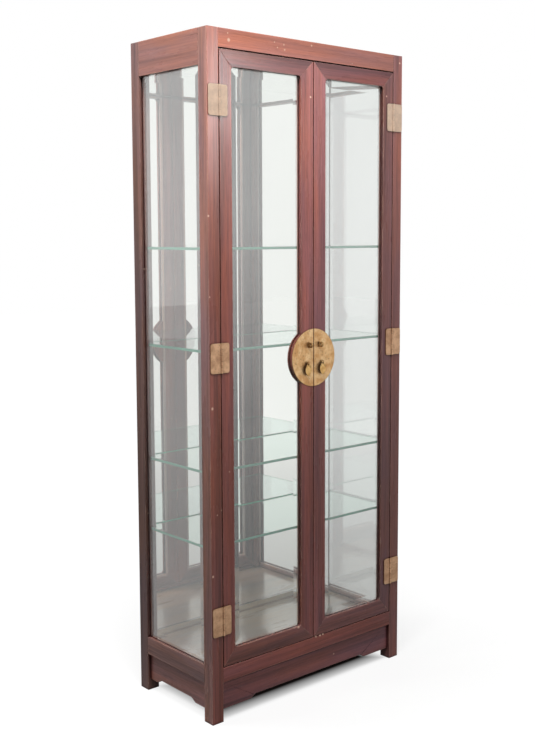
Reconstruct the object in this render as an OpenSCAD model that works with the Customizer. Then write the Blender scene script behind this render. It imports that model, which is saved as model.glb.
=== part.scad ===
// Tall display cabinet: a wooden frame on four square legs, glass on both sides and in two
// front doors, a mirror back, four glass shelves and round brass lock plates.
// Millimetres, +Z up, the front faces -Y. The origin is on the floor, under the middle of the box.

/* [Cabinet] */
// Width over the posts
cab_w = 786; // [640:2:960]
// Depth over the posts
cab_d = 368; // [320:2:480]
// Height from the floor
cab_h = 1980; // [1900:5:2150]
// Side of the square corner posts
post_w = 40; // [36:1:48]
// Thickness of the front and side rails
rail_t = 22; // [18:1:26]
// Thickness of the rear rails
rear_rail_t = 17; // [15:0.5:22]

/* [Rails and aprons] */
// Height of the front top rail
front_top_h = 53; // [40:1:80]
// Height of the front bottom rail
front_bottom_h = 45; // [30:1:52]
// Height of the side top rails
side_top_h = 100; // [80:1:120]
// Height of the side bottom rails
side_bottom_h = 54; // [40:1:70]
// Height of the rear bottom rail
rear_bottom_h = 55; // [40:1:70]
// Underside of the bottom rails above the floor
rail_low_z = 118; // [90:1:150]
// Thickness of the aprons
apron_t = 12; // [8:1:15]
// How far the aprons sit behind the posts' outer faces
apron_set = 10; // [4:1:12]
// Lowest edge of an apron, next to the legs
apron_low_z = 34; // [20:1:60]
// Rise from the lowest edge to the straight middle
apron_rise = 11; // [6:1:20]
// Length of the low part of the front apron at each end
front_low_run = 107; // [60:1:140]
// Length of the low part of a side apron at the front
side_low_run = 54; // [30:1:70]
// Length of the low part of a side apron at the rear
rear_low_run = 34; // [24:1:60]
// Length of the curved step of an apron
ogee_run = 27; // [16:1:40]

/* [Boards] */
// Thickness of the floor board
floor_t = 15; // [12:1:20]
// Front bottom rail's top above the floor board
floor_drop = 10; // [4:1:16]
// Side of the square cleats under the floor board
cleat_w = 16; // [12:1:18]
// Ceiling's underside below the top of the posts
ceiling_drop = 94; // [80:1:110]
// Thickness of the ceiling board
ceiling_t = 12; // [9:1:18]
// Thickness of the top board
top_t = 14; // [10:1:20]
// Top board's upper face below the top of the posts
top_drop = 4; // [2:1:12]
// Gap between the closed doors and the strip that they stop against
stop_gap = 1; // [0.5:0.5:3]

/* [Glass and mirror] */
// Thickness of the side and door glass
glass_t = 5; // [3:0.5:6]
// Depth of the wooden lip in front of the glass
glass_set = 10; // [6:1:11]
// Width of the rebates that hold glass, mirror and beads
rebate_w = 8; // [6:1:12]
// Clearance of glass and mirror in their rebates
glass_gap = 0.3; // [0.2:0.1:0.8]
// Gap in the mitres of the glazing beads
bead_gap = 0.2; // [0.1:0.1:0.5]
// Thickness of the mirror
mirror_t = 5; // [3:0.5:6]
// Depth of the wooden lip in front of the mirror
mirror_set = 6; // [2:0.5:8]
// Thickness of the board behind the mirror
back_t = 4; // [3:0.5:6]

/* [Shelves] */
// Thickness of the glass shelves
shelf_t = 8; // [4:0.5:12]
// Upper face of the highest shelf
shelf_1_z = 1380; // [1250:1:1600]
// Upper face of the second shelf
shelf_2_z = 1088; // [950:1:1200]
// Upper face of the third shelf
shelf_3_z = 738; // [660:1:900]
// Upper face of the lowest shelf
shelf_4_z = 517; // [350:1:600]
// Shelf's front edge behind the posts' front faces
shelf_set = 45; // [42:1:70]
// Gap between a shelf and what stands beside it
shelf_gap = 2; // [1:0.5:4]
// Gap between a shelf and the mirror
shelf_back_gap = 5; // [1:0.5:6]
// Radius of the shelf pins
pin_r = 2.5; // [2:0.25:4]
// Length of a shelf pin out of its post
pin_out = 14; // [9:1:20]
// Length of a shelf pin inside its post
pin_in = 10; // [6:1:14]
// Distance of the shelf pins from the post's inner side
pin_side = 11; // [8:0.5:14]
// Radial clearance of the shelf pins in their holes
pin_fit = 0.05; // [0.02:0.01:0.1]
// First spare pin hole below a shelf's pin
hole_first = 62; // [40:1:70]
// Spacing of the spare pin holes
hole_step = 45; // [30:1:55]

/* [Doors] */
// Thickness of the door frames
door_t = 22; // [20:1:26]
// Gap between a door and its post
door_gap_side = 2.5; // [2:0.1:3]
// Gap between the doors and the top rail
door_gap_top = 3; // [2:0.5:5]
// Gap between the doors and the bottom rail
door_gap_bottom = 2; // [1.5:0.5:4]
// Gap between the two doors
meet_gap = 2.6; // [2.2:0.1:4]
// Distance of the doors' meeting line right of the middle
meet_shift = 5; // [0:1:10]
// Width of the stiles on the hinge side
hinge_stile_w = 43; // [36:1:60]
// Width of the stiles on the meeting side
meet_stile_w = 49; // [44:1:60]
// Height of the doors' top rails
door_top_h = 46; // [36:1:70]
// Height of the doors' bottom rails
door_bottom_h = 48; // [36:1:80]
// Radius of the corners of the door openings
corner_r = 11; // [4:1:20]

/* [Hinges] */
// Height of a hinge
hinge_h = 86; // [60:1:110]
// Middle of the lowest hinge above the floor
hinge_low_z = 304; // [240:1:400]
// Middle of the middle hinge above the floor
hinge_mid_z = 1069; // [900:1:1200]
// Middle of the top hinge below the top of the posts
hinge_top_drop = 196; // [150:1:300]
// Thickness of the hinge plates
leaf_t = 3; // [2:0.25:3.25]
// Hinge plate's edge from the post's outer face
leaf_margin = 2.5; // [1:0.5:6]
// Width of the plate on the door, from the pin
door_leaf_w = 28; // [20:1:34]
// Radius of the plates' outer corners
leaf_corner_r = 7; // [3:1:9]
// Radius of the hinge barrels
barrel_r = 3.3; // [2.8:0.1:3.3]
// Hinge axis in front of the doors' faces
axis_out = 3.5; // [3.4:0.1:4.5]
// Hinge axis from the post's inner side
axis_in = 1.5; // [1.3:0.1:1.8]
// Radius of the hinge pins
hinge_pin_r = 1.5; // [1:0.1:1.8]
// Radial clearance of the hinge pins
hinge_fit = 0.05; // [0.02:0.01:0.1]
// Gap between knuckles, and from a barrel to the other plate
knuckle_gap = 0.3; // [0.2:0.1:0.5]
// Thickness of the hinge pins' heads
head_t = 1; // [0.5:0.5:3]

/* [Lock plates] */
// Radius of the round lock plate
disc_r = 88; // [70:1:100]
// Middle of the lock plate above the floor
disc_z = 1044; // [900:1:1200]
// Thickness of the lock plate
disc_t = 1.5; // [1:0.25:3]
// Wood left around the lock plate
disc_rim = 1; // [0.5:0.5:6]
// Lock lug's tip in front of the doors' faces
lug_out = 20; // [18:0.5:30]
// Height of a lock lug
lug_h = 16; // [12:0.5:20]
// Thickness of a lock lug
lug_t = 5.5; // [3:0.5:8]
// Lock lug's middle from the meeting line
lug_side = 21.5; // [12:0.5:30]
// Middle of the lock lugs above the middle of the plate
lug_up = 39; // [25:1:60]
// Radius of the hole in a lock lug
lug_hole_r = 3.5; // [2:0.25:5]

/* [Pulls] */
// Pull's middle from the meeting line
pull_side = 30; // [24:0.5:42]
// Middle of the pull's ring below the middle of the plate
pull_down = 15; // [5:1:30]
// Middle of the ring in front of the plate
ring_out = 8; // [7:0.5:12]
// Radius of the ring's centre line
ring_r = 4; // [4:0.25:5.5]
// Radius of the ring's wire
wire_r = 1; // [0.8:0.1:1.1]
// Radius of the ring's round base
rose_r = 4.5; // [3:0.5:7]
// Thickness of the ring's round base
rose_t = 1; // [0.5:0.25:2]
// Width of the pendant
pendant_w = 25; // [18:1:30]
// Height of the pendant's leaf
pendant_h = 38; // [28:1:50]
// Thickness of the pendant
pendant_t = 2.5; // [1.5:0.25:2.5]
// Radius of the hole that the ring passes through
pendant_hole_r = 2; // [1.8:0.1:2.5]
// Play of the pendant on its ring
pendant_play = 0.4; // [0.3:0.05:0.5]
// Rim of the pendant around its hole
pendant_rim = 1.5; // [1:0.25:2]

/* [Hidden] */
$fn = 64;
// Overshoot of a cutting solid past the face that it cuts
cut = 1;
// How far a mitre cut runs on, as a share of the frame member's width
mitre_reach = 1.6;
ogee_steps = 16;

// Left and right, as a factor on X
left = -1;
right = 1;

// X planes, right of the middle
x_out = cab_w / 2;
x_post = x_out - post_w;
x_rail = x_out - rail_t;
x_glass = x_out - glass_set - glass_t;
x_apron = x_out - apron_set;
x_pin = x_post + pin_side;
x_axis = x_post - axis_in;

// Y planes, from the front to the back
y_f = (lug_out - cab_d) / 2;
y_b = y_f + cab_d;
y_post_f = y_f + post_w;
y_post_b = y_b - post_w;
y_rail_f = y_f + rail_t;
y_rail_b = y_b - rear_rail_t;
y_stop = y_f + max(door_t, rail_t) + stop_gap;
y_mirror = y_rail_b + mirror_set;
y_plate = y_f - disc_t;
y_ring = y_plate - ring_out;
y_axis = y_f - axis_out;

// Z planes
z_front_low = rail_low_z + front_bottom_h;
z_side_low = rail_low_z + side_bottom_h;
z_rear_low = rail_low_z + rear_bottom_h;
z_floor = z_front_low - floor_drop;
z_front_top = cab_h - front_top_h;
z_side_top = cab_h - side_top_h;
z_ceiling = cab_h - ceiling_drop;
z_rear_top = z_ceiling + ceiling_t;
z_top_board = cab_h - top_drop - top_t;
z_door_low = z_front_low + door_gap_bottom;
z_door_top = z_front_top - door_gap_top;
z_lug = disc_z + lug_up;
z_ring = disc_z - pull_down;
z_hinges = [hinge_low_z, hinge_mid_z, cab_h - hinge_top_drop];
z_shelves = [shelf_1_z, shelf_2_z, shelf_3_z, shelf_4_z];

// Hinge barrels
knuckle_n = 5;
knuckle_h = (hinge_h - (knuckle_n - 1) * knuckle_gap) / knuckle_n;
plate_start = barrel_r + knuckle_gap;

// Pulls
z_hole = z_ring - ring_r - pendant_play;
tab_r = pendant_hole_r + pendant_rim;
leaf_r = (pendant_h * pendant_h + pendant_w * pendant_w) / (4 * pendant_w);

function door_hinge_x(s) = s * (x_post - door_gap_side);
function door_meet_x(s) = meet_shift + s * meet_gap / 2;
function sight_hinge_x(s) = door_hinge_x(s) - s * hinge_stile_w;
function sight_meet_x(s) = door_meet_x(s) + s * meet_stile_w;
function pin_z(i) = z_shelves[i] - shelf_t - pin_r;
function spare_drop(k) = k == 0 ? 0 : hole_first + (k - 1) * hole_step;

// A box given by two opposite corners
module block(a, b) {
    lo = [for (i = [0:2]) min(a[i], b[i])];
    hi = [for (i = [0:2]) max(a[i], b[i])];
    translate(lo) cube(hi - lo);
}

// Sets an outline drawn in X and Z up as a plate that reaches from y0 back to y1
module upright(y0, y1) {
    translate([0, y1, 0]) rotate([90, 0, 0]) linear_extrude(y1 - y0) children();
}

// Sets an outline drawn in Y and Z up as a plate that reaches from x0 to x1
module sideways(x0, x1) {
    translate([min(x0, x1), 0, 0]) rotate([90, 0, 90]) linear_extrude(abs(x1 - x0)) children();
}

// Corner posts

// Shelf pins or their holes in one post: dir is the way out of the post along Y
module pin_row(s, y, dir, r, inside, outside, spare) {
    for (i = [0:3]) {
        for (k = [0:spare]) {
            y0 = y - dir * inside;
            y1 = y + dir * outside;
            translate([s * x_pin, min(y0, y1), pin_z(i) - spare_drop(k)])
                rotate([-90, 0, 0]) cylinder(h = inside + outside, r = r);
        }
    }
}

// Groove in a post's side for the side glass and its bead
module side_groove(s, y, dir) {
    block([s * x_rail, y - dir * rebate_w, z_side_low - rebate_w],
          [s * (x_out - glass_set), y + dir * cut, z_side_top + rebate_w]);
}

module front_post(s) {
    difference() {
        block([s * x_post, y_f, 0], [s * x_out, y_post_f, cab_h]);
        side_groove(s, y_post_f, 1);
        pin_row(s, y_post_f, 1, pin_r + pin_fit, pin_in + cut, cut, 2);
    }
}

module rear_post(s) {
    difference() {
        block([s * x_post, y_post_b, 0], [s * x_out, y_b, cab_h]);
        side_groove(s, y_post_b, -1);
        pin_row(s, y_post_b, -1, pin_r + pin_fit, pin_in + cut, cut, 2);
        block([s * (x_post - cut), y_mirror, z_rear_low - rebate_w],
              [s * (x_post + rebate_w), y_b + cut, z_rear_top + rebate_w]);
    }
}

module front_left_post() {
    color("#7a4642") front_post(left);
}

module front_right_post() {
    color("#7a4642") front_post(right);
}

module rear_left_post() {
    color("#6d3f3c") rear_post(left);
}

module rear_right_post() {
    color("#6d3f3c") rear_post(right);
}

// Rails between the posts

module front_top_rail() {
    color("#8b544e") block([-x_post, y_f, z_front_top], [x_post, y_rail_f, cab_h]);
}

module front_bottom_rail() {
    color("#8b544e") block([-x_post, y_f, rail_low_z], [x_post, y_rail_f, z_front_low]);
}

module rear_top_rail() {
    color("#6d3f3c") difference() {
        block([-x_post, y_rail_b, z_rear_top], [x_post, y_b, cab_h]);
        block([-x_post - cut, y_mirror, z_rear_top - cut], [x_post + cut, y_b + cut, z_rear_top + rebate_w]);
    }
}

module rear_bottom_rail() {
    color("#6d3f3c") difference() {
        block([-x_post, y_rail_b, rail_low_z], [x_post, y_b, z_rear_low]);
        block([-x_post - cut, y_mirror, z_rear_low - rebate_w], [x_post + cut, y_b + cut, z_rear_low + cut]);
    }
}

// One side rail with the rebate for glass and bead along its edge at z_edge
module side_rail(s, z0, z1, z_edge, dir) {
    difference() {
        block([s * x_rail, y_post_f, z0], [s * x_out, y_post_b, z1]);
        block([s * (x_rail - cut), y_post_f - cut, z_edge - dir * rebate_w],
              [s * (x_out - glass_set), y_post_b + cut, z_edge + dir * cut]);
    }
}

module left_top_rail() {
    color("#8b544e") side_rail(left, z_side_top, cab_h, z_side_top, -1);
}

module right_top_rail() {
    color("#8b544e") side_rail(right, z_side_top, cab_h, z_side_top, -1);
}

module left_bottom_rail() {
    color("#8b544e") side_rail(left, rail_low_z, z_side_low, z_side_low, 1);
}

module right_bottom_rail() {
    color("#8b544e") side_rail(right, rail_low_z, z_side_low, z_side_low, 1);
}

// Aprons under the bottom rails: low next to the legs, with a curved step up to the middle

function ogee(a, z0, b, z1) = [
    for (i = [0:ogee_steps]) [a + (b - a) * i / ogee_steps, z0 + (z1 - z0) * (1 - cos(180 * i / ogee_steps)) / 2]
];

module apron_outline(a, b, run_a, run_b) {
    z_mid = apron_low_z + apron_rise;
    polygon(concat(
        [[a, rail_low_z], [a, apron_low_z]],
        ogee(a + run_a, apron_low_z, a + run_a + ogee_run, z_mid),
        ogee(b - run_b - ogee_run, z_mid, b - run_b, apron_low_z),
        [[b, apron_low_z], [b, rail_low_z]]
    ));
}

module front_apron() {
    color("#5d3431") upright(y_f + apron_set, y_f + apron_set + apron_t)
        apron_outline(-x_post, x_post, front_low_run, front_low_run);
}

module side_apron(s) {
    sideways(s * x_apron, s * (x_apron - apron_t))
        apron_outline(y_post_f, y_post_b, side_low_run, rear_low_run);
}

module left_apron() {
    color("#5d3431") side_apron(left);
}

module right_apron() {
    color("#5d3431") side_apron(right);
}

// Boards

// A level board between the side rails, notched round the posts
module level_board(y0, y1, z, t) {
    difference() {
        block([-x_rail, y0, z], [x_rail, y1, z + t]);
        for (s = [left, right]) {
            block([s * x_post, y_f, z - cut], [s * x_out, y_post_f, z + t + cut]);
            block([s * x_post, y_post_b, z - cut], [s * x_out, y_b, z + t + cut]);
        }
    }
}

module floor_board() {
    color("#7d4a46") level_board(y_rail_f, y_rail_b, z_floor - floor_t, floor_t);
}

module floor_cleats() {
    z1 = z_floor - floor_t;
    z0 = z1 - cleat_w;
    color("#9a7a5a") {
        block([-x_post, y_rail_f, z0], [x_post, y_rail_f + cleat_w, z1]);
        block([-x_post, y_rail_b - cleat_w, z0], [x_post, y_rail_b, z1]);
        for (s = [left, right])
            block([s * (x_rail - cleat_w), y_post_f, z0], [s * x_rail, y_post_b, z1]);
    }
}

module ceiling_board() {
    color("#7d4a46") level_board(y_post_f, y_mirror - glass_gap, z_ceiling, ceiling_t);
}

module ceiling_front_strip() {
    color("#7d4a46") block([-x_post, y_stop, z_ceiling], [x_post, y_post_f, z_top_board]);
}

module top_board() {
    color("#7d4a46") level_board(y_rail_f, y_rail_b, z_top_board, top_t);
}

// Side glass and its beads

module side_glass(s) {
    reach = rebate_w - glass_gap;
    block([s * x_glass, y_post_f - reach, z_side_low - reach],
          [s * (x_glass + glass_t), y_post_b + reach, z_side_top + reach]);
}

module left_side_glass() {
    color("#cfe6e0", 0.4) side_glass(left);
}

module right_side_glass() {
    color("#cfe6e0", 0.4) side_glass(right);
}

// Four mitred strips around an opening of w by h centred on the origin
module bead_ring(w, h) {
    for (turn = [0:3]) {
        upright_side = turn % 2 == 1;
        length = upright_side ? h : w;
        reach = (upright_side ? w : h) / 2;
        rotate(90 * turn) translate([0, reach]) polygon([
            [bead_gap - length / 2, 0],
            [length / 2 - bead_gap, 0],
            [length / 2 + rebate_w - bead_gap, rebate_w],
            [bead_gap - length / 2 - rebate_w, rebate_w]
        ]);
    }
}

module side_beads(s) {
    sideways(s * x_rail, s * x_glass)
        translate([(y_post_f + y_post_b) / 2, (z_side_low + z_side_top) / 2])
        bead_ring(y_post_b - y_post_f, z_side_top - z_side_low);
}

module left_glass_beads() {
    color("#7a4642") side_beads(left);
}

module right_glass_beads() {
    color("#7a4642") side_beads(right);
}

// Mirror back

module back_sheet(y, t) {
    reach = rebate_w - glass_gap;
    block([-x_post - reach, y, z_rear_low - reach], [x_post + reach, y + t, z_rear_top + reach]);
}

module back_mirror() {
    color("#b8c4c6") back_sheet(y_mirror, mirror_t);
}

module back_board() {
    color("#8a6f55") back_sheet(y_mirror + mirror_t, back_t);
}

// Glass shelves on pins

module shelf(i) {
    x_end = x_rail - shelf_gap;
    x_notch = x_post - shelf_gap;
    difference() {
        block([-x_end, y_f + shelf_set, z_shelves[i] - shelf_t], [x_end, y_mirror - shelf_back_gap, z_shelves[i]]);
        for (s = [left, right])
            block([s * x_notch, y_post_b - shelf_gap, z_shelves[i] - shelf_t - cut],
                  [s * x_out, y_b, z_shelves[i] + cut]);
    }
}

module shelf_1() {
    color("#9ad1bf", 0.6) shelf(0);
}

module shelf_2() {
    color("#9ad1bf", 0.6) shelf(1);
}

module shelf_3() {
    color("#9ad1bf", 0.6) shelf(2);
}

module shelf_4() {
    color("#9ad1bf", 0.6) shelf(3);
}

module shelf_pins() {
    color("#c9a063") for (s = [left, right]) {
        pin_row(s, y_post_f, 1, pin_r, pin_in, pin_out, 0);
        pin_row(s, y_post_b, -1, pin_r, pin_in, pin_out, 0);
    }
}

// Hinges: each has a plate on the post, a plate on the door and a loose pin through five knuckles

function knuckle_z(k) = (k - (knuckle_n - 1) / 2) * (knuckle_h + knuckle_gap);

// One plate with its knuckles: x_end is its far edge from the axis along dir, first is 0 or 1
module hinge_leaf(x, z, dir, x_end, first) {
    translate([x, y_axis, z]) difference() {
        union() {
            translate([0, axis_out, 0]) upright(-leaf_t, 0) {
                start = plate_start;
                flat_end = x_end - leaf_corner_r;
                inner_h = hinge_h - 2 * leaf_corner_r;
                translate([min(dir * start, dir * flat_end), -hinge_h / 2]) square([flat_end - start, hinge_h]);
                translate([min(dir * start, dir * x_end), -inner_h / 2]) square([x_end - start, inner_h]);
                for (e = [-1, 1])
                    translate([dir * flat_end, e * inner_h / 2]) circle(r = leaf_corner_r);
            }
            for (k = [first:2:knuckle_n - 1]) {
                translate([0, 0, knuckle_z(k) - knuckle_h / 2]) cylinder(h = knuckle_h, r = barrel_r);
                block([0, axis_out - leaf_t, knuckle_z(k) - knuckle_h / 2],
                      [dir * (plate_start + cut), axis_out, knuckle_z(k) + knuckle_h / 2]);
            }
        }
        translate([0, 0, -hinge_h / 2 - cut]) cylinder(h = hinge_h + 2 * cut, r = hinge_pin_r + hinge_fit);
    }
}

module post_leaves(s) {
    for (z = z_hinges)
        hinge_leaf(s * x_axis, z, s, x_out - leaf_margin - x_axis, 0);
}

module hinge_pins(s) {
    for (z = z_hinges) translate([s * x_axis, y_axis, z]) {
        translate([0, 0, -hinge_h / 2]) cylinder(h = hinge_h, r = hinge_pin_r);
        for (e = [0, 1]) mirror([0, 0, e])
            translate([0, 0, hinge_h / 2]) cylinder(h = head_t, r = (hinge_pin_r + barrel_r) / 2);
    }
}

module left_post_leaves() {
    color("#c99a5b") post_leaves(left);
}

module right_post_leaves() {
    color("#c99a5b") post_leaves(right);
}

module left_hinge_pins() {
    color("#a87f48") hinge_pins(left);
}

module right_hinge_pins() {
    color("#a87f48") hinge_pins(right);
}

// Doors: four mitred members, glass held by beads, and the brass on the meeting stile

// The opening of a door's frame, with rounded corners
module door_opening(s) {
    a = min(sight_hinge_x(s), sight_meet_x(s));
    b = max(sight_hinge_x(s), sight_meet_x(s));
    z0 = z_door_low + door_bottom_h;
    z1 = z_door_top - door_top_h;
    translate([a + corner_r, z0]) square([b - a - 2 * corner_r, z1 - z0]);
    translate([a, z0 + corner_r]) square([b - a, z1 - z0 - 2 * corner_r]);
    for (x = [a + corner_r, b - corner_r], z = [z0 + corner_r, z1 - corner_r])
        translate([x, z]) circle(r = corner_r);
}

module door_frame(s) {
    reach = rebate_w;
    difference() {
        block([door_hinge_x(s), y_f, z_door_low], [door_meet_x(s), y_f + door_t, z_door_top]);
        upright(y_f - cut, y_f + door_t) door_opening(s);
        block([sight_hinge_x(s) + s * reach, y_f + glass_set, z_door_low + door_bottom_h - reach],
              [sight_meet_x(s) - s * reach, y_f + door_t + cut, z_door_top - door_top_h + reach]);
    }
}

// Cuts one member out of a door's frame between the mitres at its two ends
module door_member(s, outer_a, outer_b, inner_a, inner_b) {
    intersection() {
        door_frame(s);
        upright(y_f - cut, y_f + door_t + cut) polygon([
            outer_a,
            outer_b,
            outer_b + mitre_reach * (inner_b - outer_b),
            outer_a + mitre_reach * (inner_a - outer_a)
        ]);
    }
}

// Corners of a door's frame: hinge side or meeting side, bottom or top, outside and at the opening
function outer_corner(s, meet, top) = [
    meet ? door_meet_x(s) : door_hinge_x(s),
    top ? z_door_top : z_door_low
];
function inner_corner(s, meet, top) = [
    meet ? sight_meet_x(s) : sight_hinge_x(s),
    top ? z_door_top - door_top_h : z_door_low + door_bottom_h
];

module door_stile(s, meet) {
    door_member(s, outer_corner(s, meet, false), outer_corner(s, meet, true),
                inner_corner(s, meet, false), inner_corner(s, meet, true));
}

module door_rail(s, top) {
    door_member(s, outer_corner(s, false, top), outer_corner(s, true, top),
                inner_corner(s, false, top), inner_corner(s, true, top));
}

module door_glass(s) {
    reach = rebate_w - glass_gap;
    block([sight_hinge_x(s) + s * reach, y_f + glass_set, z_door_low + door_bottom_h - reach],
          [sight_meet_x(s) - s * reach, y_f + glass_set + glass_t, z_door_top - door_top_h + reach]);
}

module door_beads(s) {
    z0 = z_door_low + door_bottom_h;
    z1 = z_door_top - door_top_h;
    upright(y_f + glass_set + glass_t, y_f + door_t)
        translate([(sight_hinge_x(s) + sight_meet_x(s)) / 2, (z0 + z1) / 2])
        bead_ring(abs(sight_hinge_x(s) - sight_meet_x(s)), z1 - z0);
}

// The part of a disc that lies beyond a line at x, away from the other door
module disc_beyond(s, x, r) {
    intersection() {
        translate([meet_shift, disc_z]) circle(r = r);
        translate([min(x, x + s * r), disc_z - r]) square([r, 2 * r]);
    }
}

// Wooden blocks that carry the lock plate past the stile, one on each side of the glass
module round_blocks(s) {
    upright(y_f, y_f + glass_set) disc_beyond(s, sight_meet_x(s), disc_r + disc_rim);
    upright(y_f + glass_set + glass_t, y_f + door_t) disc_beyond(s, sight_meet_x(s), disc_r + disc_rim);
}

module lock_plate(s) {
    upright(y_plate, y_f) disc_beyond(s, door_meet_x(s), disc_r);
}

module lock_lug(s) {
    x = meet_shift + s * lug_side;
    y_tip = y_f - lug_out + lug_h / 2;
    sideways(x - lug_t / 2, x + lug_t / 2) difference() {
        union() {
            translate([y_tip, z_lug - lug_h / 2]) square([y_plate - y_tip, lug_h]);
            translate([y_tip, z_lug]) circle(d = lug_h);
        }
        translate([y_tip, z_lug]) circle(r = lug_hole_r);
    }
}

module door_leaves(s) {
    for (z = z_hinges)
        hinge_leaf(s * x_axis, z, -s, door_leaf_w, 1);
}

// Pulls: a wire ring on a round base, and a pendant that slides along the ring as it is lifted

module pull_eye(s) {
    translate([meet_shift + s * pull_side, 0, z_ring]) {
        translate([0, y_plate, 0]) rotate([90, 0, 0]) cylinder(h = rose_t, r = rose_r);
        translate([0, y_plate, 0]) rotate([90, 0, 0]) cylinder(h = ring_out - ring_r, r = wire_r);
        translate([0, y_ring, 0]) rotate([0, 90, 0]) rotate_extrude() translate([ring_r, 0]) circle(r = wire_r);
    }
}

module drop_pull(s) {
    z_leaf = z_hole + tab_r - pendant_h / 2;
    x_centre = leaf_r - pendant_w / 2;
    translate([meet_shift + s * pull_side, 0, 0]) upright(y_ring - pendant_t / 2, y_ring + pendant_t / 2)
        difference() {
            union() {
                translate([0, z_leaf]) intersection() {
                    translate([-x_centre, 0]) circle(r = leaf_r, $fn = 128);
                    translate([x_centre, 0]) circle(r = leaf_r, $fn = 128);
                }
                translate([0, z_hole]) circle(r = tab_r);
            }
            translate([0, z_hole]) circle(r = pendant_hole_r);
        }
}

module left_hinge_stile() {
    color("#8b544e") door_stile(left, false);
}

module left_meeting_stile() {
    color("#9b4f49") door_stile(left, true);
}

module left_door_top_rail() {
    color("#7d5a56") door_rail(left, true);
}

module left_door_bottom_rail() {
    color("#7d5a56") door_rail(left, false);
}

module left_door_glass() {
    color("#cfe6e0", 0.4) door_glass(left);
}

module left_door_beads() {
    color("#7a4642") door_beads(left);
}

module left_round_blocks() {
    color("#9b4f49") round_blocks(left);
}

module left_lock_plate() {
    color("#d1a96b") lock_plate(left);
}

module left_lock_lug() {
    color("#c99a5b") lock_lug(left);
}

module left_pull_eye() {
    color("#a87f48") pull_eye(left);
}

module left_drop_pull() {
    color("#d1a96b") drop_pull(left);
}

module left_door_leaves() {
    color("#c99a5b") door_leaves(left);
}

module right_hinge_stile() {
    color("#8b544e") door_stile(right, false);
}

module right_meeting_stile() {
    color("#9b4f49") door_stile(right, true);
}

module right_door_top_rail() {
    color("#7d5a56") door_rail(right, true);
}

module right_door_bottom_rail() {
    color("#7d5a56") door_rail(right, false);
}

module right_door_glass() {
    color("#cfe6e0", 0.4) door_glass(right);
}

module right_door_beads() {
    color("#7a4642") door_beads(right);
}

module right_round_blocks() {
    color("#9b4f49") round_blocks(right);
}

module right_lock_plate() {
    color("#d1a96b") lock_plate(right);
}

module right_lock_lug() {
    color("#c99a5b") lock_lug(right);
}

module right_pull_eye() {
    color("#a87f48") pull_eye(right);
}

module right_drop_pull() {
    color("#d1a96b") drop_pull(right);
}

module right_door_leaves() {
    color("#c99a5b") door_leaves(right);
}

front_left_post();
front_right_post();
rear_left_post();
rear_right_post();
front_top_rail();
front_bottom_rail();
rear_top_rail();
rear_bottom_rail();
left_top_rail();
right_top_rail();
left_bottom_rail();
right_bottom_rail();
front_apron();
left_apron();
right_apron();
floor_board();
floor_cleats();
ceiling_board();
ceiling_front_strip();
top_board();
left_side_glass();
right_side_glass();
left_glass_beads();
right_glass_beads();
back_mirror();
back_board();
shelf_1();
shelf_2();
shelf_3();
shelf_4();
shelf_pins();
left_post_leaves();
right_post_leaves();
left_hinge_pins();
right_hinge_pins();
left_hinge_stile();
left_meeting_stile();
left_door_top_rail();
left_door_bottom_rail();
left_door_glass();
left_door_beads();
left_round_blocks();
left_lock_plate();
left_lock_lug();
left_pull_eye();
left_drop_pull();
left_door_leaves();
right_hinge_stile();
right_meeting_stile();
right_door_top_rail();
right_door_bottom_rail();
right_door_glass();
right_door_beads();
right_round_blocks();
right_lock_plate();
right_lock_lug();
right_pull_eye();
right_drop_pull();
right_door_leaves();
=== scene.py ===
import math
import bpy
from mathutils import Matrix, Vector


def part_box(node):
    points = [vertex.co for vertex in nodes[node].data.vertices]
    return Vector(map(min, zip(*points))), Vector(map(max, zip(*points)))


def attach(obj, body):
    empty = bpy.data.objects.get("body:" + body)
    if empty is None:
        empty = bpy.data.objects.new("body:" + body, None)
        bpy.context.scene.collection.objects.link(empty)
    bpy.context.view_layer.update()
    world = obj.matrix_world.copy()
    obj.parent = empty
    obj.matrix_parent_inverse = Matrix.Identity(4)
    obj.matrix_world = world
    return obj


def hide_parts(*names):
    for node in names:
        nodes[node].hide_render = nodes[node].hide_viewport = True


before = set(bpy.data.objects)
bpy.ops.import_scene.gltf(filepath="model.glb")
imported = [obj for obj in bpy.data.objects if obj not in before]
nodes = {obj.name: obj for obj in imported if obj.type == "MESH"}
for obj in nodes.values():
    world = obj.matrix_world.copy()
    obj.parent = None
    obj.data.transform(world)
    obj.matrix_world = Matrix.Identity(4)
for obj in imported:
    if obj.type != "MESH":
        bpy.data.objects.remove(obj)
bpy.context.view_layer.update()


# Camera
# A normal lens at chest height, out to the front left of the cabinet, with the lens moved a
# little sideways and down in its frame, as the photograph was cropped.
camera = bpy.data.cameras.new("camera")
camera.sensor_fit = "AUTO"
camera.sensor_width = 36.0
camera.lens = 50.754
camera.shift_x = -0.01333
camera.shift_y = -0.04354
camera.clip_start = 0.05
camera_object = bpy.data.objects.new("camera", camera)
camera_object.location = (-2.200, -2.523, 1.414)
camera_object.rotation_euler = (math.radians(84.107), math.radians(0.1746), math.radians(-41.27))
bpy.context.scene.collection.objects.link(camera_object)
bpy.context.scene.camera = camera_object
bpy.context.scene.view_settings.view_transform = "Standard"


# Studio
# White paper on the floor and white all round. The paper is seen a little brighter than it is
# lit, so that it is white but still takes the cabinet's shadow.
def add(tree, kind, inputs=None, **settings):
    """Adds one shader node: inputs takes values or the sockets that feed them."""
    made = tree.nodes.new(kind)
    for key, value in settings.items():
        setattr(made, key, value)
    for key, value in (inputs or {}).items():
        if isinstance(value, bpy.types.NodeSocket):
            tree.links.new(value, made.inputs[key])
        else:
            made.inputs[key].default_value = value
    return made


def calc(tree, operation, *values):
    """A sum, product or other number, worked out from one to three others."""
    return add(tree, "ShaderNodeMath", dict(enumerate(values)), operation=operation).outputs[0]


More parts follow.
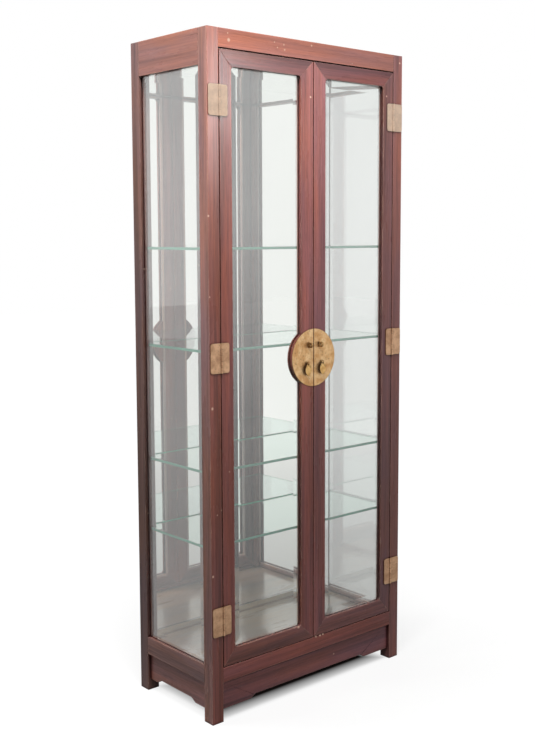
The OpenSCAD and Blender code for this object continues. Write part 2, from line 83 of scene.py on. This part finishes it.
def vector(tree, operation, *values):
    """The same for vectors and colours; a length, distance or dot product is a number."""
    made = add(tree, "ShaderNodeVectorMath", dict(enumerate(values)), operation=operation)
    return made.outputs["Value" if operation in ("LENGTH", "DISTANCE", "DOT_PRODUCT") else "Vector"]


def slope(tree, value, start, end, low=0.0, high=1.0):
    """Goes from low to high as the value goes from start to end, and stays level outside them."""
    return add(tree, "ShaderNodeMapRange", {
        "Value": value, "From Min": start, "From Max": end, "To Min": low, "To Max": high}).outputs[0]


def mixed(tree, factor, first, second, kind="RGBA"):
    """The first colour or number where the factor is 0, the second where it is 1."""
    made = add(tree, "ShaderNodeMix", {"Factor": factor, "A": first, "B": second}, data_type=kind)
    return made.outputs["Result"]


def coordinates(tree, kind="Object"):
    """The place of each point, or with Normal the way that it faces."""
    return add(tree, "ShaderNodeTexCoord").outputs[kind]


def part(tree, whole, axis):
    """The X, Y or Z of a vector."""
    return add(tree, "ShaderNodeSeparateXYZ", {0: whole}).outputs[axis]


def rays_of(tree):
    """What kind of ray looks at the surface."""
    return add(tree, "ShaderNodeLightPath").outputs


def seen_directly(tree):
    """1 for rays from the camera and for those that a mirror or glass sends on, else 0."""
    rays = rays_of(tree)
    first = calc(tree, "MAXIMUM", rays["Is Camera Ray"], rays["Is Glossy Ray"])
    return calc(tree, "MAXIMUM", first, rays["Is Transmission Ray"])


def new_material(name):
    """An empty material with its output node."""
    material = bpy.data.materials.new(name)
    material.use_nodes = True
    tree = material.node_tree
    tree.nodes.clear()
    return material, tree, tree.nodes.new("ShaderNodeOutputMaterial")


white = (1.0, 1.0, 1.0, 1.0)
world_light = 0.05
far_glow = 0.76


def white_room():
    """White for the camera, and a little darker at the far right for mirrors and glass."""
    world = bpy.data.worlds.new("studio")
    world.use_nodes = True
    bpy.context.scene.world = world
    tree = world.node_tree
    tree.nodes.clear()
    way = coordinates(tree, "Generated")
    rightwards = calc(tree, "ADD", part(tree, way, "X"), part(tree, way, "Y"))
    reflected = slope(tree, rightwards, 0.3, 1.2, 1.0, far_glow)
    shown = mixed(tree, rays_of(tree)["Is Camera Ray"], reflected, 1.0, "FLOAT")
    strength = mixed(tree, seen_directly(tree), world_light, shown, "FLOAT")
    light = add(tree, "ShaderNodeBackground", {"Color": white, "Strength": strength})
    tree.links.new(light.outputs[0], tree.nodes.new("ShaderNodeOutputWorld").inputs[0])


def white_paper():
    """Paper that takes light as grey does, and glows white for the eye away from the cabinet."""
    material, tree, out = new_material("paper")
    place = coordinates(tree)
    x = part(tree, place, "X")
    y = part(tree, place, "Y")
    shaded_half = (0.36, 0.17)
    past_x = calc(tree, "SUBTRACT", calc(tree, "ABSOLUTE", x), shaded_half[0])
    past_y = calc(tree, "SUBTRACT", calc(tree, "ABSOLUTE", y), shaded_half[1])
    open_paper = slope(tree, calc(tree, "MAXIMUM", past_x, past_y), -0.07, 0.0)
    away = vector(tree, "LENGTH", place)
    in_view = slope(tree, away, 0.4, 1.6, 0.84, 1.0)
    near = slope(tree, away, 0.6, 4.5, 0.42, 1.0)
    right = slope(tree, calc(tree, "ADD", x, y), 1.0, 5.0, 1.0, far_glow)
    left = slope(tree, calc(tree, "SUBTRACT", x, y), -1.5, 0.5, 0.62, 1.0)
    reflected = calc(tree, "MULTIPLY", near, calc(tree, "MULTIPLY", left, right))
    shown = mixed(tree, rays_of(tree)["Is Camera Ray"], reflected, in_view, "FLOAT")
    strength = calc(tree, "MULTIPLY", calc(tree, "MULTIPLY", seen_directly(tree), shown), open_paper)
    lit = add(tree, "ShaderNodeBsdfDiffuse", {"Color": (0.24, 0.24, 0.24, 1.0)})
    glow = add(tree, "ShaderNodeEmission", {"Color": white, "Strength": strength})
    both = add(tree, "ShaderNodeAddShader", {0: lit.outputs[0], 1: glow.outputs[0]})
    tree.links.new(both.outputs[0], out.inputs[0])
    return material


def softbox(name, where, aim, size, power):
    """A lamp with a square face that looks at a point; polished things don't show it."""
    lamp = bpy.data.lights.new(name, "AREA")
    lamp.shape = "RECTANGLE"
    lamp.size, lamp.size_y = size
    lamp.energy = power
    box = bpy.data.objects.new(name, lamp)
    box.location = where
    reach = [a - w for a, w in zip(aim, where)]
    flat = math.hypot(reach[0], reach[1])
    box.rotation_euler = (math.atan2(flat, -reach[2]), 0.0, math.atan2(-reach[0], reach[1]))
    box.visible_camera = False
    box.visible_glossy = False
    bpy.context.scene.collection.objects.link(box)
    return box


white_room()
bpy.ops.mesh.primitive_plane_add(size=30.0, location=(0.0, 0.0, 0.0))
paper = bpy.context.object
paper.name = "paper"
paper.data.materials.append(white_paper())

softbox("high_softbox", (-0.9, -0.9, 3.1), (-0.1, -0.1, 1.9), (0.8, 0.8), 56.0)
softbox("left_softbox", (-2.0, 1.2, 2.6), (-0.4, 0.0, 1.7), (1.2, 1.2), 36.0)
glare = softbox("glare_softbox", (1.15, -2.5, 2.12), (-0.4, -0.2, 1.8), (0.4, 0.55), 40.0)
glare.visible_glossy = True
in_glare = bpy.data.collections.new("in_the_glare")
for name in (
        "front_left_post", "front_right_post", "front_bottom_rail", "front_apron",
        "left_hinge_stile", "left_meeting_stile", "left_door_top_rail", "left_door_bottom_rail",
        "right_hinge_stile", "right_meeting_stile", "right_door_top_rail", "right_door_bottom_rail"):
    in_glare.objects.link(nodes[name])
glare.light_linking.receiver_collection = in_glare


# Corner posts
# Four square posts of a dark red-brown hardwood run from the floor to the top. They are lacquered,
# with edges eased and painted pale, as wear and as a painted highlight, and drilled inside for the shelf
# pins.
def colour(red, green, blue):
    """A colour as a screen shows it, 0 to 255, as the light values that a shader wants."""
    shown = [c / 255 for c in (red, green, blue)]
    return tuple(c / 12.92 if c <= 0.04 else ((c + 0.055) / 1.055) ** 2.4 for c in shown) + (1.0,)


front_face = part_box("front_left_post")[0][1]
bare_and_highlight_colour = colour(222, 184, 162)


def colours_along(tree, value, *stops):
    """A run of colours: each stop is a value from 0 to 1 and its colour."""
    made = add(tree, "ShaderNodeValToRGB", {0: value})
    elements = made.color_ramp.elements
    for element, (place, tone) in zip(elements, (stops[0], stops[-1])):
        element.position = place
        element.color = tone
    for place, tone in stops[1:-1]:
        elements.new(place).color = tone
    return made.outputs[0]


def openness(tree, distance):
    """1 in the open, less in joints and corners that are narrower than the distance."""
    return add(tree, "ShaderNodeAmbientOcclusion", {"Distance": distance}, samples=6).outputs["AO"]


def flatness(tree, radius):
    """1 on flat faces, less within the radius of an edge."""
    rounded = add(tree, "ShaderNodeBevel", {"Radius": radius}, samples=4).outputs[0]
    return vector(tree, "DOT_PRODUCT", rounded, add(tree, "ShaderNodeNewGeometry").outputs["Normal"])


def grain_noise(tree, place, grain, shift):
    """Gives a function that makes noise drawn out along the grain, with scales across and along it."""
    def stretched(across, length, detail, rough=0.55, offset=0.0):
        moved = add(tree, "ShaderNodeMapping", {
            "Vector": place, "Location": (shift + offset, shift * 1.7, shift * 0.6),
            "Scale": [length if axis == grain else across for axis in "XYZ"]})
        return add(tree, "ShaderNodeTexNoise", {
            "Vector": moved.outputs[0], "Scale": 1.0, "Detail": detail, "Roughness": rough}).outputs[0]
    return stretched


def figured_tone(tree, bands, fine, pores, tone, figured):
    """The stain's colour in darker and lighter bands along the grain, with dark pores."""
    def shade(light, warm):
        return tuple(c * light * w for c, w in zip(tone, (1.0 + warm, 1.0, 1.0 - warm))) + (1.0,)

    figure = mixed(tree, 0.42, bands, fine, "FLOAT")
    banded = colours_along(
        tree, figure, (0.38, shade(1.0 - 0.42 * figured, -0.03)), (0.5, shade(1.0, 0.0)),
        (0.62, shade(1.0 + 0.33 * figured, 0.03)))
    pits = slope(tree, pores, 0.30, 0.46, 1.0 - 0.30 * figured, 1.0)
    return vector(tree, "MULTIPLY", banded, pits)


def blotched_tone_with_painted_light(tree, place, fresh, cloud, side_light_tint, side_axis, one_way):
    """Painted light: darkest near 0.6 m up, palest at the top, and lighter on side faces; blotched warm and
    cool.
    """
    # Painted light: the tone is darkened low down and lightened at the top, as the light falls from above.
    painted_light_by_height = ((0.0, 0.97), (0.14, 0.78), (0.30, 0.68), (0.40, 0.74), (0.5, 0.86), (0.85, 1.08))
    half_height = calc(tree, "MULTIPLY", part(tree, place, "Z"), 0.5)
    greys = [(height, (light, light, light, 1.0)) for height, light in painted_light_by_height]
    painted_height_light = colours_along(tree, half_height, *greys)
    cast = mixed(tree, slope(tree, cloud, 0.36, 0.64), (0.92, 1.0, 1.12, 1.0), (1.14, 1.0, 0.80, 1.0))
    facing = part(tree, coordinates(tree, "Normal"), side_axis)
    sideways = calc(tree, "MULTIPLY", facing, -1.0) if one_way else calc(tree, "ABSOLUTE", facing)
    # Painted light: faces turned to one side are tinted lighter, standing in for the light and reflection
    # that they catch.
    painted_side_light = mixed(tree, slope(tree, sideways, 0.5, 0.8), white, side_light_tint + (1.0,))
    height_lit = vector(tree, "MULTIPLY", fresh, painted_height_light)
    blotched = vector(tree, "MULTIPLY", height_lit, cast)
    return vector(tree, "MULTIPLY", blotched, painted_side_light)


def bare_and_highlight_share(tree, place, rub, open_air, chips, wear_from, scars):
    """Lacquer gone in small nicks and the larger chips of a list, and pale along open edges, partly as wear
    and partly as a painted highlight.
    """
    # Painted highlight as well as wear: the eased edges in the open turn pale.
    edge = slope(tree, flatness(tree, 0.0023), 0.985, 0.90)
    open_edge = slope(tree, open_air, wear_from, wear_from + 0.15)
    paling = slope(tree, rub, 0.50, 0.64, 0.26, 0.9)
    worn_and_highlit = calc(tree, "MULTIPLY", calc(tree, "MULTIPLY", edge, open_edge), paling)
    spots = add(tree, "ShaderNodeTexVoronoi", {"Vector": place, "Scale": 17.0, "Randomness": 1.0}).outputs
    ragged = calc(tree, "MULTIPLY_ADD", rub, 0.16, spots["Distance"])
    chosen = calc(tree, "GREATER_THAN", part(tree, spots["Color"], "X"), 0.40)
    nicks = calc(tree, "MULTIPLY", slope(tree, ragged, 0.115, 0.135, chips, 0.0), chosen)
    bare_and_highlit = calc(tree, "MAXIMUM", worn_and_highlit, nicks)
    for x, z, radius in scars:
        away = vector(tree, "DISTANCE", place, (x, front_face, z))
        uneven = calc(tree, "MULTIPLY_ADD", rub, radius * 1.4, away)
        bare_and_highlit = calc(tree, "MAXIMUM", bare_and_highlit, slope(tree, uneven, radius * 1.35, radius * 1.75, 0.9, 0.0))
    return bare_and_highlit


def lacquered(
        name, grain, tone, gloss=0.28, shift=0.0, chips=0.8, polish=0.0, satin=0.06, depth=1.5, figured=1.0,
        side_light_tint=(1.0, 1.0, 1.0), side_axis="X", one_way=False, wear_from=0.80, scars=()):
    """Lacquered hardwood with its grain along one axis; polish adds a coat, satin dulls the coat."""
    material, tree, out = new_material(name)
    place = coordinates(tree)
    stretched = grain_noise(tree, place, grain, shift)
    bands = stretched(30.0, 0.9, 3.0, offset=3.0)
    fine = stretched(230.0, 4.0, 5.0, 0.6)
    pores = stretched(800.0, 26.0, 2.0, 0.5, offset=7.0)
    cloud = stretched(16.0, 2.2, 3.0, offset=13.0)
    rub = stretched(70.0, 12.0, 4.0, 0.7, offset=11.0)
    haze = stretched(14.0, 3.0, 4.0, offset=5.0)

    fresh = figured_tone(tree, bands, fine, pores, tone, figured)
    blotched_and_lit = blotched_tone_with_painted_light(tree, place, fresh, cloud, side_light_tint, side_axis, one_way)
    open_air = openness(tree, 0.010)
    # Painted shade: joints, corners and recesses are darkened towards a deep red-brown by ambient
    # occlusion, where shade falls.
    painted_joint_shade = mixed(tree, slope(tree, open_air, 0.42, 0.96), (0.22, 0.07, 0.06, 1.0), white)
    shaded_in_joints = vector(tree, "MULTIPLY", blotched_and_lit, painted_joint_shade)
    bare_and_highlit = bare_and_highlight_share(tree, place, rub, open_air, chips, wear_from, scars)
    skin = mixed(tree, bare_and_highlit, shaded_in_joints, bare_and_highlight_colour)

    height = calc(tree, "MULTIPLY_ADD", pores, fine, 0.6)
    bump = add(tree, "ShaderNodeBump", {"Height": height, "Strength": 0.16, "Distance": 0.0006})
    wood = add(tree, "ShaderNodeBsdfPrincipled", {
        "Base Color": skin, "Roughness": slope(tree, haze, 0.3, 0.7, gloss - 0.06, gloss + 0.10),
        "Normal": bump.outputs[0], "Specular IOR Level": 0.28,
        "Coat Weight": polish, "Coat Roughness": satin, "Coat IOR": depth})
    tree.links.new(wood.outputs[0], out.inputs[0])
    return material


def dress(name, material, width=0.0012):
    """Gives a CAD piece its finish, and rounds its sharp edges as sandpaper does."""
    piece = nodes[name]
    piece.data.materials.clear()
    piece.data.materials.append(material)
    weld = piece.modifiers.new("weld", "WELD")
    weld.merge_threshold = 0.00001
    bevel = piece.modifiers.new("ease", "BEVEL")
    bevel.width = width
    bevel.segments = 2
    bevel.limit_method = "ANGLE"
    bevel.angle_limit = math.radians(40)
    bevel.use_clamp_overlap = False
    flat = piece.modifiers.new("flat faces", "WEIGHTED_NORMAL")
    flat.weight = 100


left_post_scars = ((-0.392, 1.467, 0.0030), (-0.390, 1.243, 0.0024), (-0.37, 0.62, 0.0022))
# The post's side faces are tinted lighter and cooler, a painted reflection of the white room seen at a
# slant.
post_wood = lacquered(
    "post_wood", "Z", colour(139, 83, 74), shift=0.3, side_light_tint=(1.0, 1.45, 1.6), scars=left_post_scars)
post_wood_right = lacquered("post_wood_right", "Z", colour(124, 79, 74), shift=2.1)
rear_post_wood = lacquered("rear_post_wood", "Z", colour(117, 86, 82), shift=4.4)
dress("front_left_post", post_wood)
dress("front_right_post", post_wood_right)
dress("rear_left_post", rear_post_wood)
dress("rear_right_post", rear_post_wood)


# Rails
# Boards set between the posts at the top and the bottom, flush with them in front and at the
# sides. They are of the same wood, with the grain running along them.
top_rail_scars = (
    (-0.316, 1.949, 0.0065), (-0.319, 1.968, 0.0024), (-0.148, 1.963, 0.0020), (-0.137, 1.949, 0.0024),
    (-0.112, 1.9595, 0.0032), (-0.109, 1.945, 0.0030), (-0.003, 1.969, 0.0035))
low_rail_scars = ((0.0165, 0.163, 0.0035), (0.034, 0.162, 0.0035), (0.047, 0.162, 0.003))
rail_wood_x = lacquered(
    "rail_wood_x", "X", colour(175, 116, 104), shift=1.2, figured=0.7, scars=top_rail_scars)
rail_wood_low = lacquered("rail_wood_low", "X", colour(140, 84, 82), shift=6.0, scars=low_rail_scars)
rail_wood_y = lacquered("rail_wood_y", "Y", colour(144, 98, 88), shift=1.9, figured=0.7)
low_rail_wood_y = lacquered("low_rail_wood_y", "Y", colour(160, 117, 109), shift=11.0)
dress("front_top_rail", rail_wood_x)
dress("front_bottom_rail", rail_wood_low)
dress("rear_top_rail", rail_wood_x)
for side in ("left", "right"):
    dress(side + "_top_rail", rail_wood_y)
    dress(side + "_bottom_rail", low_rail_wood_y)


# Aprons
# Thin shaped boards under the bottom rails, set back from the faces of the legs. Their lower
# edge steps up in a curve from the legs to a straight middle.
apron_edge = 0.001
apron_wood_x = lacquered("apron_wood_x", "X", colour(120, 76, 78), shift=2.7)
apron_wood_y = lacquered("apron_wood_y", "Y", colour(170, 117, 110), shift=3.3)
dress("front_apron", apron_wood_x, apron_edge)
dress("left_apron", apron_wood_y, apron_edge)
dress("right_apron", apron_wood_y, apron_edge)


# Boards
# Veneered boards close the cabinet below, above and over the ceiling, which is lined like a
# mirror. They and the rail behind the floor have a glossy coat; plain strips carry the floor.
board_edge = 0.0006


def layered(tree, factor, under, over):
    """One finish where the factor is 0, another where it is 1."""
    return add(tree, "ShaderNodeMixShader", {0: factor, 1: under, 2: over}).outputs[0]


def lined_board():
    """A plain board with a shiny lining on its underside."""
    material, tree, out = new_material("lined_board")
    below = calc(tree, "LESS_THAN", part(tree, coordinates(tree, "Normal"), "Z"), -0.5)
    core = add(tree, "ShaderNodeBsdfPrincipled", {"Base Color": colour(120, 84, 66), "Roughness": 0.6})
    lining = add(tree, "ShaderNodeBsdfPrincipled", {
        "Base Color": (0.80, 0.84, 0.82, 1.0), "Metallic": 1.0, "Roughness": 0.02})
    tree.links.new(layered(tree, below, core.outputs[0], lining.outputs[0]), out.inputs[0])
    return material


board_wood = lacquered(
    "board_wood", "X", colour(116, 78, 70), gloss=0.3, shift=0.8, chips=0.0, polish=1.0, depth=2.2)
satin_floor = lacquered(
    "satin_floor", "X", colour(168, 142, 128), gloss=0.3, shift=0.8, chips=0.0, polish=1.0, satin=0.16,
    depth=1.8, figured=0.35)
# The face of this rail that looks into the cabinet is tinted three to five times lighter, as painted light.
painted_light_rail = lacquered(
    "painted_light_rail", "X", colour(125, 92, 84), gloss=0.3, shift=2.2, chips=0.0, polish=1.0, satin=0.1,
    depth=2.0, figured=0.35, side_light_tint=(3.2, 5.0, 4.7), side_axis="Y", one_way=True)
cleat_wood = lacquered("cleat_wood", "X", colour(158, 126, 94), gloss=0.6, shift=5.0, chips=0.0)
dress("ceiling_front_strip", board_wood, board_edge)
dress("top_board", board_wood, board_edge)
dress("floor_board", satin_floor, board_edge)
dress("rear_bottom_rail", painted_light_rail, board_edge)
dress("ceiling_board", lined_board(), board_edge)
dress("floor_cleats", cleat_wood)


# Side glass and door glass
# Clear plate glass, ground to a wide bevel along all four edges of its outer face. It lies in
# the rebates, against the wooden lip.
side_bevel = 0.0335
door_bevel = 0.0310
ground_depth = 0.0025


def clear_glass(name, tint, dust, sheen, bloom=0.0):
    """Glass with dust and, higher up, a bloom; lamp light and mirrored views pass straight through."""
    material, tree, out = new_material(name)
    place = coordinates(tree)
    silky = slope(tree, part(tree, place, "Z"), 0.9, 1.5, sheen, sheen + bloom)
    glass = add(tree, "ShaderNodeBsdfPrincipled", {
        "Base Color": tint, "Roughness": 0.0, "IOR": 1.5, "Transmission Weight": 1.0, "Metallic": silky})
    wipes = add(tree, "ShaderNodeMapping", {"Vector": place, "Scale": (3.0, 3.0, 1.1)})
    cloud = add(tree, "ShaderNodeTexNoise", {"Vector": wipes.outputs[0], "Scale": 2.2, "Detail": 4.0})
    thick = slope(tree, cloud.outputs[0], 0.3, 0.7, dust * 0.8, dust * 1.2)
    film = add(tree, "ShaderNodeBsdfDiffuse", {"Color": (0.80, 0.83, 0.85, 1.0)})
    dusty = layered(tree, thick, glass.outputs[0], film.outputs[0])
    open_air = add(tree, "ShaderNodeBsdfTransparent", {"Color": (0.955, 0.96, 0.945, 1.0)})
    rays = rays_of(tree)
    lamp_light = calc(tree, "MAXIMUM", rays["Is Shadow Ray"], rays["Is Diffuse Ray"])
    mirrored = calc(tree, "SUBTRACT", rays["Is Glossy Ray"], rays["Is Transmission Ray"])
    passes = calc(tree, "MAXIMUM", lamp_light, mirrored)
    tree.links.new(layered(tree, passes, dusty, open_air.outputs[0]), out.inputs[0])
    return material


def pane(name, node, out_axis, out_side, bevel, drop, material):
    """A sheet of glass in a CAD sheet's place, its outer face ground down towards the edges."""
    low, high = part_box(node)
    centre = [(a + b) / 2 for a, b in zip(low, high)]
    size = [b - a for a, b in zip(low, high)]
    outer = high[out_axis] if out_side > 0 else low[out_axis]
    bpy.ops.object.select_all(action="DESELECT")
    bpy.ops.mesh.primitive_cube_add(size=1.0, location=centre, scale=size)
    sheet = bpy.context.object
    sheet.name = name
    bpy.ops.object.transform_apply(location=True, rotation=True, scale=True)
    bpy.ops.object.mode_set(mode="EDIT")
    bpy.ops.mesh.select_all(action="DESELECT")
    bpy.ops.object.mode_set(mode="OBJECT")
    for face in sheet.data.polygons:
        face.select = face.normal[out_axis] * out_side > 0.9
    bpy.ops.object.mode_set(mode="EDIT")
    bpy.ops.mesh.inset(thickness=bevel, depth=0.0)
    bpy.ops.object.mode_set(mode="OBJECT")
    flat_corners = {v for face in sheet.data.polygons if face.select for v in face.vertices}
    for vertex in sheet.data.vertices:
        on_rim = abs(vertex.co[out_axis] - outer) < 0.0001
        vertex.select = on_rim and vertex.index not in flat_corners
    for edge in sheet.data.edges:
        edge.select = all(sheet.data.vertices[v].select for v in edge.vertices)
    for face in sheet.data.polygons:
        face.select = False
    bpy.ops.object.mode_set(mode="EDIT")
    move = [0.0, 0.0, 0.0]
    move[out_axis] = -out_side * drop
    bpy.ops.transform.translate(value=move)
    bpy.ops.object.mode_set(mode="OBJECT")
    sheet.data.materials.append(material)
    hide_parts(node)
    return sheet


side_glass = clear_glass("side_glass", (0.99, 1.0, 0.995, 1.0), 0.03, 0.14)
door_glass = clear_glass("door_glass", (0.985, 1.0, 0.993, 1.0), 0.02, 0.05, bloom=0.11)
for side, out_side in (("left", -1), ("right", 1)):
    glass = pane(
        side + "_side_pane", side + "_side_glass", 0, out_side, side_bevel, ground_depth, side_glass)
    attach(glass, "carcass")
for side in ("left", "right"):
    glass = pane(
        side + "_door_pane", side + "_door_glass", 1, -1, door_bevel, ground_depth, door_glass)
    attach(glass, side + "_door")


# Glazing beads
# Narrow mitred strips, pinned into the rebates behind the side glass and the door glass, of the same
# wood with a glossy coat, its colour painted pale as painted light for the light that they catch.
bead_edge = 0.0008
bead_wood = lacquered(
    "bead_wood", "Z", colour(196, 154, 146), shift=7.5, chips=0.0, polish=1.0, depth=1.9, figured=0.5)
for name in ("left_glass_beads", "right_glass_beads", "left_door_beads", "right_door_beads"):
    dress(name, bead_wood, bead_edge)


# Mirror back
# A bevelled mirror, a little hazy and bowed, stands in the rebates of the rear posts and rails,
# with a plain board behind it.
mirror_bevel = 0.0225
mirror_ground = 0.0004
back_board_edge = 0.0005


def mirror_silver():
    """Silvered glass whose face leans a little to the right, as a bowed sheet does."""
    material, tree, out = new_material("mirror_silver")
    smears = add(tree, "ShaderNodeTexNoise", {"Vector": coordinates(tree), "Scale": 2.5, "Detail": 3.0})
    haze = slope(tree, smears.outputs[0], 0.3, 0.7, 0.02, 0.06)
    bow = (0.014, 0.0, 0.0)
    facing = add(tree, "ShaderNodeNewGeometry").outputs["Normal"]
    leant = vector(tree, "NORMALIZE", vector(tree, "ADD", facing, bow))
    silver = add(tree, "ShaderNodeBsdfPrincipled", {
        "Base Color": (0.985, 0.985, 0.975, 1.0), "Metallic": 1.0, "Roughness": 0.0, "Normal": leant})
    dull = add(tree, "ShaderNodeBsdfDiffuse", {"Color": (0.70, 0.76, 0.80, 1.0)})
    tree.links.new(layered(tree, haze, silver.outputs[0], dull.outputs[0]), out.inputs[0])
    return material


mirror = pane("bevelled_mirror", "back_mirror", 1, -1, mirror_bevel, mirror_ground, mirror_silver())
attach(mirror, "carcass")
back_wood = lacquered(
    "back_wood", "Z", colour(158, 130, 98), gloss=0.7, shift=9.0, chips=0.0, figured=0.45)
dress("back_board", back_wood, back_board_edge)


# Shelves
# Clear plate glass with ground and polished edges, cut out at the rear corners to pass the
# posts. Seen end on, the edges are green.
shelf_edge = 0.0006


def shelf_glass():
    """Clear faces and green edges; lamp light passes straight through."""
    material, tree, out = new_material("shelf_glass")
    faces = add(tree, "ShaderNodeBsdfPrincipled", {
        "Base Color": (0.82, 0.96, 0.91, 1.0), "Roughness": 0.0, "IOR": 1.5, "Transmission Weight": 1.0})
    lines = add(tree, "ShaderNodeMapping", {"Vector": coordinates(tree), "Scale": (8.0, 8.0, 500.0)})
    waver = add(tree, "ShaderNodeTexNoise", {"Vector": lines.outputs[0], "Scale": 1.0, "Detail": 2.0})
    green = colours_along(tree, waver.outputs[0], (0.35, colour(26, 138, 106)), (0.7, colour(78, 194, 158)))
    edges = add(tree, "ShaderNodeBsdfPrincipled", {
        "Base Color": green, "Roughness": 0.12, "IOR": 1.5, "Transmission Weight": 0.1})
    level = calc(tree, "ABSOLUTE", part(tree, coordinates(tree, "Normal"), "Z"))
    body = layered(tree, calc(tree, "LESS_THAN", level, 0.5), faces.outputs[0], edges.outputs[0])
    open_air = add(tree, "ShaderNodeBsdfTransparent", {"Color": (0.90, 0.95, 0.93, 1.0)})
    rays = rays_of(tree)
    lamp_light = calc(tree, "MAXIMUM", rays["Is Shadow Ray"], rays["Is Diffuse Ray"])
    tree.links.new(layered(tree, lamp_light, body, open_air.outputs[0]), out.inputs[0])
    return material


green_glass = shelf_glass()
for name in ("shelf_1", "shelf_2", "shelf_3", "shelf_4"):
    dress(name, green_glass, shelf_edge)


# Doors
# Each door is a mitred frame of the same wood. Two wooden blocks, cut round, carry the lock
# plate past the meeting stile, one before the glass and one behind it.
foot_scars = (
    (-0.057, 0.2115, 0.0045), (0.0165, 0.164, 0.003), (0.025, 0.1635, 0.0022), (0.034, 0.163, 0.003),
    (0.047, 0.163, 0.0026))
hinge_stile_wood = lacquered("hinge_stile_wood", "Z", colour(130, 77, 72), shift=3.9)
right_hinge_wood = lacquered("right_hinge_wood", "Z", colour(111, 73, 72), shift=9.6)
left_meeting_wood = lacquered("left_meeting_wood", "Z", colour(141, 84, 80), shift=5.7, scars=foot_scars)
right_meeting_wood = lacquered("right_meeting_wood", "Z", colour(135, 84, 84), shift=8.3, scars=foot_scars)
door_top_wood = lacquered("door_top_wood", "X", colour(103, 61, 61), shift=4.8, wear_from=0.4)
door_low_wood = lacquered("door_low_wood", "X", colour(127, 84, 83), shift=10.2, scars=foot_scars)
dress("left_hinge_stile", hinge_stile_wood)
dress("right_hinge_stile", right_hinge_wood)
dress("left_meeting_stile", left_meeting_wood)
dress("right_meeting_stile", right_meeting_wood)
dress("left_round_blocks", left_meeting_wood)
dress("right_round_blocks", right_meeting_wood)
for side in ("left", "right"):
    dress(side + "_door_top_rail", door_top_wood)
    dress(side + "_door_bottom_rail", door_low_wood)


# Brass
# Hinge plates, lock plates, lugs, rings and pendants are of sheet and cast brass that has
# dulled and spotted with age. The pins that carry the shelves are brass rod.
def aged_brass(name, bright, dull, spot_and_shade, rough=0.42, shift=0.0, paling=0.0, side_shade_amount=0.0, rim_width=0.0012):
    """Brass with cloudy tarnish and specks, painted shade on its rims, turned-away faces and under the
    pulls, and painted light higher up.
    """
    material, tree, out = new_material(name)
    place = coordinates(tree)
    moved = add(tree, "ShaderNodeMapping", {"Vector": place, "Location": (shift, shift, shift)}).outputs[0]
    clouds = add(tree, "ShaderNodeTexNoise", {
        "Vector": moved, "Scale": 42.0, "Detail": 6.0, "Roughness": 0.65}).outputs[0]
    specks = add(tree, "ShaderNodeTexNoise", {"Vector": moved, "Scale": 260.0, "Detail": 3.0}).outputs[0]
    tarnish = colours_along(tree, clouds, (0.38, dull), (0.62, bright))
    speckled = mixed(tree, slope(tree, specks, 0.60, 0.70, high=0.55), tarnish, spot_and_shade)
    # Painted shade: a dark outline along the rims of every piece.
    painted_rim_shade = slope(tree, flatness(tree, rim_width), 0.98, 0.88, high=0.7)
    to_front = calc(tree, "ABSOLUTE", part(tree, coordinates(tree, "Normal"), "Y"))
    # Painted shade: faces turned away from the front are darkened.
    painted_side_shade = slope(tree, to_front, 0.94, 0.6, high=side_shade_amount)
    # Painted shadow: the brass is darkened where other parts hang close over it, as under the pulls.
    painted_contact_shade = slope(tree, openness(tree, 0.014), 0.85, 0.45)
    dark = calc(tree, "MAXIMUM", calc(tree, "MAXIMUM", painted_rim_shade, painted_side_shade), painted_contact_shade)
    rimmed = mixed(tree, dark, speckled, spot_and_shade)
    # Painted light: higher parts turn towards a pale cream, as the light is stronger there.
    higher = slope(tree, part(tree, place, "Z"), 1.1, 1.8, high=paling)
    bump = add(tree, "ShaderNodeBump", {"Height": specks, "Strength": 0.12, "Distance": 0.0004})
    brass = add(tree, "ShaderNodeBsdfPrincipled", {
        "Base Color": mixed(tree, higher, rimmed, colour(238, 222, 206)), "Metallic": 0.6,
        "Roughness": slope(tree, clouds, 0.3, 0.7, rough + 0.12, rough - 0.08), "Normal": bump.outputs[0]})
    tree.links.new(brass.outputs[0], out.inputs[0])
    return material


# The hinges are painted paler higher up, as painted light.
hinge_brass = aged_brass(
    "hinge_brass", colour(222, 178, 140), colour(190, 146, 112), colour(90, 54, 28), paling=0.5,
    rim_width=0.0018)
plate_brass = aged_brass(
    "plate_brass", colour(248, 208, 154), colour(222, 168, 108), colour(96, 48, 24), shift=2.0,
    rim_width=0.0025)
# The lugs, pins, rings and pendants have faces turned from the front painted darker, as painted shade.
small_brass = aged_brass(
    "small_brass", colour(232, 192, 132), colour(160, 116, 62), colour(70, 46, 20), rough=0.26,
    shift=5.0, side_shade_amount=0.5)
pull_brass = aged_brass(
    "pull_brass", colour(244, 200, 130), colour(212, 160, 90), colour(40, 24, 8), rough=0.34,
    shift=7.0, side_shade_amount=1.0)
sheet_edge = 0.0005
cast_edge = 0.0006
lug_edge = 0.0007
pin_edge = 0.0002
ring_edge = 0.0001
shelf_pin_edge = 0.0003
for side in ("left", "right"):
    dress(side + "_post_leaves", hinge_brass, sheet_edge)
    dress(side + "_door_leaves", hinge_brass, sheet_edge)
    dress(side + "_hinge_pins", small_brass, pin_edge)
    dress(side + "_lock_plate", plate_brass, sheet_edge)
    dress(side + "_lock_lug", small_brass, lug_edge)
    dress(side + "_pull_eye", small_brass, ring_edge)
    dress(side + "_drop_pull", pull_brass, cast_edge)
dress("shelf_pins", small_brass, shelf_pin_edge)
